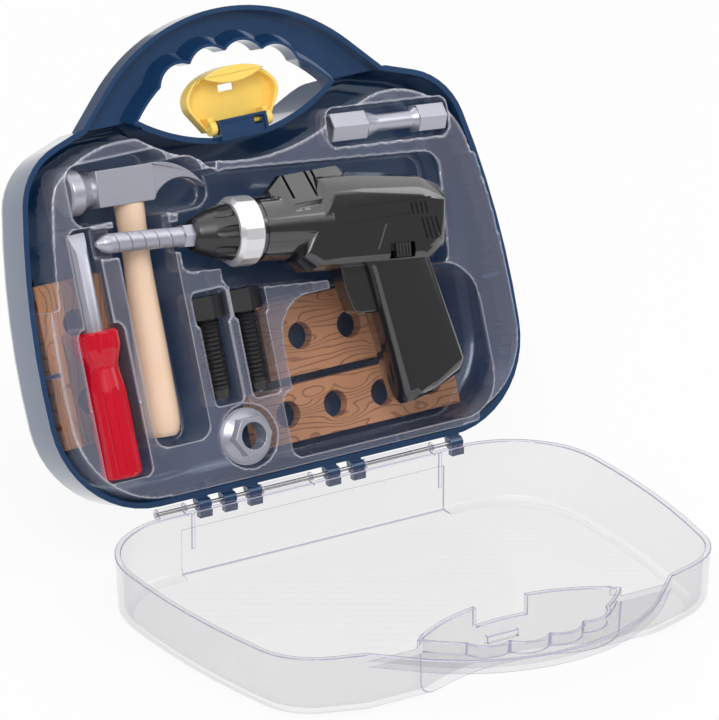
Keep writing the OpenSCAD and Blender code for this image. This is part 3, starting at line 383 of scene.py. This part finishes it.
@dataclass(frozen=True)
class PlankSkin:
    """A satin plastic with engraved wood grain.

    Attributes:
        name: name of the material.
        colour: colour of the plank, linear.
        line: colour of the engraved lines, linear.
        grain: the way the grain runs.
        pitch: spacing of the lines in millimetres.
        shift: where along the endless grain this plank is cut, in millimetres.
        gloss: roughness.
        depth: depth of the engraved lines in millimetres.
        stain: how much of the line's colour shows in the lines.
    """

    name: str
    colour: tuple[float, float, float]
    line: tuple[float, float, float]
    grain: Grain = Grain.ACROSS
    pitch: float = 3.4
    shift: tuple[float, float, float] = (0.0, 0.0, 0.0)
    gloss: float = 0.42
    depth: float = 0.35
    stain: float = 0.6

    def material(self) -> bpy.types.Material:
        """Builds the material on first use and returns it."""
        if self.name in bpy.data.materials:
            return bpy.data.materials[self.name]
        made = bpy.data.materials.new(self.name)
        made.use_nodes = True
        sheet = NodeSheet(made.node_tree)
        lean = math.radians(CasePlane().lean - 90.0)
        turn = math.radians(self.grain.value)
        spot = sheet.add("ShaderNodeTexCoord").outputs["Object"]
        lie = sheet.add("ShaderNodeMapping", Vector=spot, Rotation=(lean, 0.0, 0.0),
                        Scale=(1000.0, 1000.0, 1000.0)).outputs[0]
        cut = sheet.add("ShaderNodeMapping", Vector=lie, Rotation=(0.0, 0.0, turn),
                        Location=self.shift).outputs[0]
        grain = sheet.add("ShaderNodeGroup", {"node_tree": Effects.engraved()}, Vector=cut,
                          Pitch=self.pitch).outputs
        tone = sheet.blend(grain["Tone"], shade(self.colour, 0.86), shade(self.colour, 1.12))
        colour = sheet.blend(sheet.math("MULTIPLY", grain["Line"], self.stain), tone, shade(self.line))
        bump = sheet.add("ShaderNodeBump", Height=grain["Line"], Strength=0.8, Distance=self.depth * MM)
        bump.invert = True
        body = sheet.add("ShaderNodeBsdfPrincipled", Base_Color=colour, Roughness=self.gloss,
                         Normal=bump.outputs[0])
        sheet.add("ShaderNodeOutputMaterial", Surface=body.outputs[0])
        return made


NAVY = Moulded("navy gloss", (0.011, 0.044, 0.12), gloss=0.16, scuff=0.03, cloud=0.2, coat=0.8, level=0.6,
               glint=(0.6, 0.76, 1.0))
YELLOW = Moulded("yellow gloss", (1.0, 0.7, 0.15), gloss=0.22)
BLACK = Moulded("black gloss", (0.014, 0.014, 0.016), gloss=0.1, scuff=0.02, coat=1.0, level=0.6)
BLACK_SATIN = Moulded("black satin", (0.011, 0.011, 0.013), gloss=0.3, skin=0.03, level=0.7)
SILVER = Moulded("silver paint", (0.78, 0.78, 0.8), gloss=0.22, metal=0.6, speckle=0.12)
GREY = Moulded("grey moulding", (0.42, 0.425, 0.49), gloss=0.28, speckle=0.22, metal=0.45, skin=0.02,
               level=0.6)
STEEL = Moulded("pin steel", (0.5, 0.5, 0.52), gloss=0.28, metal=1.0)
TAN = Moulded("tan handle", (0.9, 0.65, 0.47), gloss=0.25, cloud=0.1)
RED = Moulded("red handle", (0.58, 0.003, 0.02), gloss=0.13, level=0.4)
# At a glancing look the lid turns its lilac edge colour and shows more: painted reflection.
LID = Clear("lid clear", (0.29, 0.265, 0.3), (0.34, 0.3, 0.48), haze=0.1, glance=0.4, focus=4.0, gloss=0.04,
            ripple=0.02, wave=18.0)
# Painted shade: the lid's rounded edges get a dense lilac trim that stands in for the light bent at them.
LID_EDGE_SHADE = Clear("lid edge", (0.3, 0.27, 0.48), (0.3, 0.27, 0.48), haze=0.7, glance=0.3, gloss=0.1)
# The film's near-white edge colour is its painted highlight along folds and its painted reflection at a
# glancing look; flat adds painted reflection on the raised flat.
FILM = Clear("tray film", (0.5, 0.52, 0.68), (0.84, 0.86, 0.94), haze=0.035, flat=0.07)
WOOD = (0.74, 0.35, 0.17)
WOOD_LINE = (0.28, 0.11, 0.05)
PLANK_LEFT = PlankSkin("plank upright", WOOD, WOOD_LINE, Grain.UPRIGHT)
PLANK_UPPER = PlankSkin("plank upper", WOOD, WOOD_LINE, shift=(13.0, 7.0, 0.0))
PLANK_LOWER = PlankSkin("plank lower", WOOD, WOOD_LINE, shift=(71.0, 31.0, 0.0))
Finish = Moulded | Clear | PlankSkin


@dataclass
class Dress:
    """A smooth form of one CAD node with its finish.

    Attributes:
        node: the CAD node that it stands for.
        body: the body that it rides on.
        slot: the record's material slot; not used.
        finish: the finish of its surface.
        smooth: edges flatter than this many degrees are shaded smooth.
        edge: width of the rounded outer edges in millimetres, none at 0.
        trim: the finish of the rounded edges, the piece's own if none is given.
    """

    node: str
    body: str
    slot: str
    finish: Finish
    smooth: float = 32.0
    edge: float = 0.0
    trim: Finish | None = None

    def build(self, frame: dict) -> bpy.types.Object:
        """Makes the piece and puts it in the CAD node's place.


        Returns:
            The piece.
        """
        shape = bmesh.new()
        shape.from_mesh(frame["nodes"][self.node].data)
        bmesh.ops.remove_doubles(shape, verts=shape.verts, dist=WELD_M)
        bmesh.ops.dissolve_degenerate(shape, dist=SLIVER_M, edges=shape.edges)
        bmesh.ops.dissolve_limit(shape, angle_limit=math.radians(LEVEL_DEGREES), verts=shape.verts,
                                 edges=shape.edges)
        return self.place(shape)

    def place(self, shape: bmesh.types.BMesh) -> bpy.types.Object:
        """Turns a finished form into the piece.

        Args:
            shape: the form; it is used up.

        Returns:
            The piece.
        """
        limit = math.radians(self.smooth)
        for face in shape.faces:
            face.smooth = True
        for edge in shape.edges:
            edge.smooth = len(edge.link_faces) == 2 and edge.calc_face_angle(0.0) < limit
        if self.edge > 0.0:
            weight = shape.edges.layers.float.new(BEVEL)
            for edge in shape.edges:
                edge[weight] = float(not edge.smooth and edge.calc_face_angle_signed(0.0) > limit)
        mesh = bpy.data.meshes.new(self.node + "_form")
        shape.to_mesh(mesh)
        shape.free()
        for finish in (self.finish, self.trim):
            if finish is not None:
                mesh.materials.append(finish.material())
        piece = bpy.data.objects.new(self.node + "_form", mesh)
        bpy.context.scene.collection.objects.link(piece)
        if self.edge > 0.0:
            soft = piece.modifiers.new("soft edges", "BEVEL")
            soft.width = self.edge * MM
            soft.segments = 2
            soft.limit_method = "WEIGHT"
            soft.use_clamp_overlap = False
            soft.material = 0 if self.trim is None else 1
        even = piece.modifiers.new("even shading", "WEIGHTED_NORMAL")
        even.keep_sharp = True
        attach(piece, self.body)
        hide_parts(self.node)
        LOG.info("%s: %d faces, rides on %s", piece.name, len(mesh.polygons), self.body)
        return piece


@dataclass
class FilmTray(Dress):
    """The formed tray: the upper skin of its CAD node, with the soft folds of a drawn sheet.

    Attributes:
        thickness: thickness of the sheet in millimetres.
        cell: size of the cells that the skin is drawn from, in millimetres.
        rounds: how often the folds are softened.
        hem: height of the open lower hem above the rim of the case, in millimetres.
        keep: share of the faces that is kept.
        sink: how far the block reaches below the deepest pocket, in millimetres.
        trimmed: height of the lowest part of the block that is cut away, in millimetres.
        near: faces nearer to the hem than this belong to the skirt, in millimetres.
        middle: how far up the case the middle of the tray is, in millimetres.
        bend: the bend at which the painted highlight along folds begins and the further bend at which it shows
            fully, in degrees.
        rise: depth of the band that counts as the raised flat and of its soft end, in millimetres.
    """

    thickness: float = 0.4
    cell: float = 1.0
    rounds: int = 3
    hem: float = -4.0
    keep: float = 0.22
    sink: float = 12.0
    trimmed: float = 4.0
    near: float = 1.8
    middle: float = 100.0
    bend: tuple[float, float] = (16.0, 28.0)
    rise: tuple[float, float] = (2.0, 1.5)

    def build(self, frame: dict) -> bpy.types.Object:
        """Makes the tray from the upper skin of the node.


        Returns:
            The piece.
        """
        plane = CasePlane().matrix()
        shape = bmesh.new()
        shape.from_mesh(frame["nodes"][self.node].data)
        bmesh.ops.transform(shape, matrix=plane.inverted(), verts=shape.verts)
        bmesh.ops.remove_doubles(shape, verts=shape.verts, dist=WELD_M / MM)
        rim = self.hem_points(shape)
        self.fill_below(shape)
        drawn = self.soften(shape)
        self.open_below(drawn, rim)
        self.mark_folds(drawn)
        bmesh.ops.transform(drawn, matrix=plane, verts=drawn.verts)
        piece = self.place(drawn)
        wall = piece.modifiers.new("sheet", "SOLIDIFY")
        wall.thickness = self.thickness * MM
        wall.offset = -1.0
        return piece

    def hem_points(self, shape: bmesh.types.BMesh) -> KDTree:
        """Samples the outline of the lower hem.

        Args:
            shape: the node's form, in the frame of the case.

        Returns:
            The points of the hem, to find the skirt of the block again.
        """
        points = []
        for edge in shape.edges:
            first, last = (vert.co for vert in edge.verts)
            if max(abs(first.z - self.hem), abs(last.z - self.hem)) < HEM_SLACK:
                steps = max(1, round((last - first).length))
                points += [first.lerp(last, place / steps) for place in range(steps + 1)]
        rim = KDTree(len(points))
        for place, point in enumerate(points):
            rim.insert((point.x, point.y, 0.0), place)
        rim.balance()
        return rim

    def fill_below(self, shape: bmesh.types.BMesh) -> None:
        """Sinks the whole underside to one level, which leaves a block below the upper skin.

        Args:
            shape: the node's form, in the frame of the case.
        """
        under = {vert for face in shape.faces if face.normal.z < DOWNWARD for vert in face.verts}
        level = min(vert.co.z for vert in shape.verts) - self.sink
        for vert in under:
            vert.co.z = level
        bmesh.ops.dissolve_degenerate(shape, dist=SLIVER_M / MM, edges=shape.edges)
        bmesh.ops.recalc_face_normals(shape, faces=shape.faces)

    def soften(self, shape: bmesh.types.BMesh) -> bmesh.types.BMesh:
        """Draws the block anew from small cells with soft folds.

        Args:
            shape: the block, in the frame of the case; it is used up.

        Returns:
            The softened block.
        """
        mesh = bpy.data.meshes.new("tray_block")
        shape.to_mesh(mesh)
        shape.free()
        block = bpy.data.objects.new("tray_block", mesh)
        bpy.context.scene.collection.objects.link(block)
        cells = block.modifiers.new("cells", "REMESH")
        cells.mode = "VOXEL"
        cells.voxel_size = self.cell
        folds = block.modifiers.new("folds", "SMOOTH")
        folds.iterations = self.rounds
        fewer = block.modifiers.new("fewer", "DECIMATE")
        fewer.ratio = self.keep
        drawn = bmesh.new()
        drawn.from_object(block, bpy.context.evaluated_depsgraph_get())
        bpy.data.objects.remove(block)
        bpy.data.meshes.remove(mesh)
        return drawn

    def open_below(self, shape: bmesh.types.BMesh, rim: KDTree) -> None:
        """Removes the bottom of the block and its skirt below the hem.

        Args:
            shape: the softened block, in the frame of the case.
            rim: the points of the hem.
        """
        bottom = min(vert.co.z for vert in shape.verts) + self.trimmed
        hidden = []
        for face in shape.faces:
            spot = face.calc_center_median()
            if spot.z < bottom or spot.z < self.hem and self.outward(face, rim):
                hidden.append(face)
        bmesh.ops.delete(shape, geom=hidden, context="FACES")

    def outward(self, face: bmesh.types.BMFace, rim: KDTree) -> bool:
        """Tells whether a face belongs to the outside of the skirt: close to the hem and turned outwards."""
        spot = face.calc_center_median()
        away = face.normal.x * spot.x + face.normal.y * (spot.y - self.middle)
        return away > 0.0 and rim.find((spot.x, spot.y, 0.0))[2] < self.near

    def mark_folds(self, shape: bmesh.types.BMesh) -> None:
        """Stores how sharply the sheet bends at each point, and where it is the raised flat.

        Args:
            shape: the sheet, in the frame of the case.
        """
        # These marks place the film's painted highlight along folds and its painted reflection on the raised
        # flat.
        raised = shape.verts.layers.float.new(FLAT)
        layer = shape.verts.layers.float.new(FOLDS)
        top = max(vert.co.z for vert in shape.verts)
        for vert in shape.verts:
            vert[raised] = min(1.0, max(0.0, (vert.co.z - top + self.rise[0]) / self.rise[1]))
            bends = [edge.calc_face_angle(0.0) for edge in vert.link_edges if len(edge.link_faces) == 2]
            sharp = math.degrees(max(bends, default=0.0)) - self.bend[0]
            vert[layer] = min(1.0, max(0.0, sharp) / self.bend[1])


@dataclass
class Studio:
    """The floor, the lights and the camera at the photograph's angle.

    Attributes:
        yaw: turn of the view about the vertical, in radians.
        drop: how far the view looks down, in radians.
        reach: distance of the camera from its target.
        target: point that the view is taken about, in millimetres.
        aside: shift of the target across and up the picture, in millimetres.
        focal: focal length in pixels of the picture.
        centre: where the axis of the view meets the picture, in pixels.
        picture: size of the picture in pixels.
        floor_size: half the side of the floor in metres.
        floor_tone: grey of the floor's paint.
        floor_glow: how much of the floor is plain white to the eye.
        surround: level of the surround's plain light.
        mirror: lowest level of the surround in reflections and what the upper part adds.
        mirror_band: heights between which the upper part comes in.
        aim: point that the lamps look at, in metres.
        lamps: name, place in metres, width in metres and power in watts of each lamp.
    """

    yaw: float = 0.552809
    drop: float = 0.393182
    reach: float = 3936.23
    target: tuple[float, float, float] = (0.0, 45.0, 85.78)
    aside: tuple[float, float] = (33.61, -37.72)
    focal: float = 7345.7
    centre: tuple[float, float] = (305.97, 361.52)
    picture: tuple[int, int] = (719, 720)
    floor_size: float = 12.0
    floor_tone: float = 0.9
    floor_glow: float = 0.88
    surround: float = 0.55
    mirror: tuple[float, float] = (0.26, 1.3)
    mirror_band: tuple[float, float] = (0.3, 0.62)
    aim: tuple[float, float, float] = (0.0, 0.05, 0.1)
    lamps: list[tuple[str, tuple[float, float, float], float, float]] = field(default_factory=lambda: [
        ("key", (-1.1, -1.3, 1.9), 1.3, 26.0), ("fill", (1.6, -0.9, 1.2), 1.2, 9.0),
        ("back", (0.3, 1.6, 1.7), 1.4, 12.0)])

    def build(self) -> None:
        """Builds the whole studio."""
        self.camera()
        self.floor()
        self.world()
        for name, place, width, power in self.lamps:
            self.lamp(name, Vector(place), width, power)

    def camera(self) -> None:
        """Makes the scene's camera."""
        right = Vector((math.cos(self.yaw), -math.sin(self.yaw), 0.0))
        ahead = Vector((math.sin(self.yaw) * math.cos(self.drop), math.cos(self.yaw) * math.cos(self.drop),
                        -math.sin(self.drop)))
        up = right.cross(ahead)
        eye = Vector(self.target) - right * self.aside[0] - up * self.aside[1] - ahead * self.reach
        data = bpy.data.cameras.new("camera")
        data.sensor_fit = "HORIZONTAL"
        data.sensor_width = 36.0
        data.lens = self.focal / self.picture[0] * data.sensor_width
        data.shift_x = (self.picture[0] / 2 - self.centre[0]) / self.picture[0]
        data.shift_y = (self.centre[1] - self.picture[1] / 2) / self.picture[0]
        data.clip_end = 100.0
        eyepiece = bpy.data.objects.new("camera", data)
        turn = Matrix((right, up, -ahead)).transposed().to_4x4()
        eyepiece.matrix_world = Matrix.Translation(eye * MM) @ turn
        bpy.context.scene.collection.objects.link(eyepiece)
        bpy.context.scene.camera = eyepiece

    def floor(self) -> None:
        """Makes the pale floor, white to the eye but with the object's soft shadow."""
        shape = bmesh.new()
        bmesh.ops.create_grid(shape, x_segments=2, y_segments=2, size=self.floor_size)
        mesh = bpy.data.meshes.new("floor")
        shape.to_mesh(mesh)
        shape.free()
        made = bpy.data.materials.new("floor paint")
        made.use_nodes = True
        sheet = NodeSheet(made.node_tree)
        path = sheet.add("ShaderNodeLightPath").outputs
        seen = sheet.math("MAXIMUM", path["Is Camera Ray"], path["Is Glossy Ray"])
        seen = sheet.math("MAXIMUM", seen, path["Is Transmission Ray"])
        paint = sheet.add("ShaderNodeBsdfDiffuse", Color=shade((self.floor_tone,) * 3))
        glow = sheet.add("ShaderNodeEmission", Color=(1.0, 1.0, 1.0, 1.0), Strength=1.0)
        mixed = sheet.add("ShaderNodeMixShader")
        sheet.put(mixed.inputs[0], sheet.math("MULTIPLY", seen, self.floor_glow))
        sheet.put(mixed.inputs[1], paint.outputs[0])
        sheet.put(mixed.inputs[2], glow.outputs[0])
        sheet.add("ShaderNodeOutputMaterial", Surface=mixed.outputs[0])
        mesh.materials.append(made)
        ground = bpy.data.objects.new("floor", mesh)
        bpy.context.scene.collection.objects.link(ground)

    def world(self) -> None:
        """Makes the soft surround: white to the eye, plain for the light on the object."""
        world = bpy.data.worlds.new("surround")
        world.use_nodes = True
        sheet = NodeSheet(world.node_tree)
        path = sheet.add("ShaderNodeLightPath").outputs
        direction = sheet.add("ShaderNodeTexCoord").outputs["Generated"]
        height = sheet.add("ShaderNodeSeparateXYZ", Vector=direction).outputs["Z"]
        upper = sheet.math("MULTIPLY", sheet.ramp(height, *self.mirror_band), self.mirror[1])
        soft = sheet.math("ADD", self.mirror[0], upper)
        level = sheet.add("ShaderNodeMix", {"data_type": "FLOAT"})
        sheet.put(level.inputs[0], path["Is Glossy Ray"])
        sheet.put(level.inputs[2], self.surround)
        sheet.put(level.inputs[3], soft)
        seen = sheet.math("MAXIMUM", path["Is Camera Ray"], path["Is Transmission Ray"])
        power = sheet.add("ShaderNodeMix", {"data_type": "FLOAT"})
        sheet.put(power.inputs[0], seen)
        sheet.put(power.inputs[2], level.outputs[0])
        sheet.put(power.inputs[3], 1.0)
        glow = sheet.add("ShaderNodeBackground", Color=(1.0, 1.0, 1.0, 1.0), Strength=power.outputs[0])
        sheet.add("ShaderNodeOutputWorld", Surface=glow.outputs[0])
        bpy.context.scene.world = world

    def lamp(self, name: str, place: Vector, width: float, power: float) -> None:
        """Hangs a square soft lamp that looks at the object.

        Args:
            name: name of the lamp.
            place: where it hangs, in metres.
            width: side of the lamp, in metres.
            power: its power in watts.
        """
        data = bpy.data.lights.new(name, "AREA")
        data.size = width
        data.energy = power
        lamp = bpy.data.objects.new(name, data)
        lamp.location = place
        lamp.rotation_euler = (Vector(self.aim) - place).to_track_quat("-Z", "Y").to_euler()
        bpy.context.scene.collection.objects.link(lamp)


@dataclass
class Shells:
    """The case, the lid, the hinge, the latch and the tray."""

    def pieces(self) -> list[Dress]:
        """Returns the dressed forms of this sub-assembly."""
        return [
            Dress("case_shell", "case", "navy", NAVY),
            Dress("lid_shell", "lid", "clear", LID, edge=0.6, trim=LID_EDGE_SHADE),
            Dress("hinge_pin", "lid", "pin_steel", STEEL),
            Dress("latch", "latch", "yellow", YELLOW, edge=0.5),
            Dress("latch_pin", "case", "yellow", YELLOW),
            FilmTray("tray", "tray", "film", FILM),
            Dress("plank_left", "plank_left", "plank", PLANK_LEFT, edge=0.5),
            Dress("plank_upper", "plank_upper", "plank", PLANK_UPPER, edge=0.5),
            Dress("plank_lower", "plank_lower", "plank", PLANK_LOWER, edge=0.5),
        ]


@dataclass
class Drill:
    """The toy drill."""

    def pieces(self) -> list[Dress]:
        """Returns the dressed forms of this sub-assembly."""
        return [
            Dress("drill_front", "drill", "black", BLACK),
            Dress("drill_back", "drill", "black", BLACK),
            Dress("drill_collar", "drill", "black", BLACK),
            Dress("drill_motor", "drill", "grey", GREY),
            Dress("drill_gearbox", "drill", "black_satin", BLACK_SATIN),
            Dress("drill_trigger_spring", "drill", "pin_steel", STEEL),
            Dress("drill_battery_cover", "drill", "black", BLACK, edge=0.5),
            Dress("drill_screws", "drill", "pin_steel", STEEL),
            Dress("drill_chuck", "spindle", "black_satin", BLACK_SATIN),
            Dress("drill_ring", "spindle", "silver", SILVER, smooth=12.0, edge=0.25),
            Dress("drill_bit", "spindle", "grey", GREY, smooth=48.0),
            Dress("drill_spindle", "spindle", "grey", GREY),
            Dress("drill_trigger", "trigger", "black", BLACK, edge=0.9),
            Dress("drill_switch", "switch", "black_satin", BLACK_SATIN, edge=0.25),
        ]


@dataclass
class HandTools:
    """The hammer, the screwdriver, the socket tool, the bolts and the nut."""

    def pieces(self) -> list[Dress]:
        """Returns the dressed forms of this sub-assembly."""
        return [
            Dress("hammer_head", "hammer", "grey", GREY, edge=0.5),
            Dress("hammer_handle", "hammer", "tan", TAN),
            Dress("screwdriver_handle", "screwdriver", "red", RED),
            Dress("screwdriver_blade", "screwdriver", "grey", GREY),
            Dress("socket_tool", "socket", "grey", GREY, edge=0.4),
            Dress("bolt_left", "bolt_left", "black_satin", BLACK_SATIN),
            Dress("bolt_right", "bolt_right", "black_satin", BLACK_SATIN),
            Dress("nut", "nut", "grey", GREY, edge=0.3),
        ]


def main() -> None:
    """Builds the studio and every piece."""
    logging.basicConfig(level=logging.INFO, format="%(name)s: %(message)s")
    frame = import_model()
    bpy.context.scene.view_settings.view_transform = "Standard"
    Studio().build()
    for group in (Shells(), Drill(), HandTools()):
        for piece in group.pieces():
            piece.build(frame)


if __name__ == "__main__":
    main()
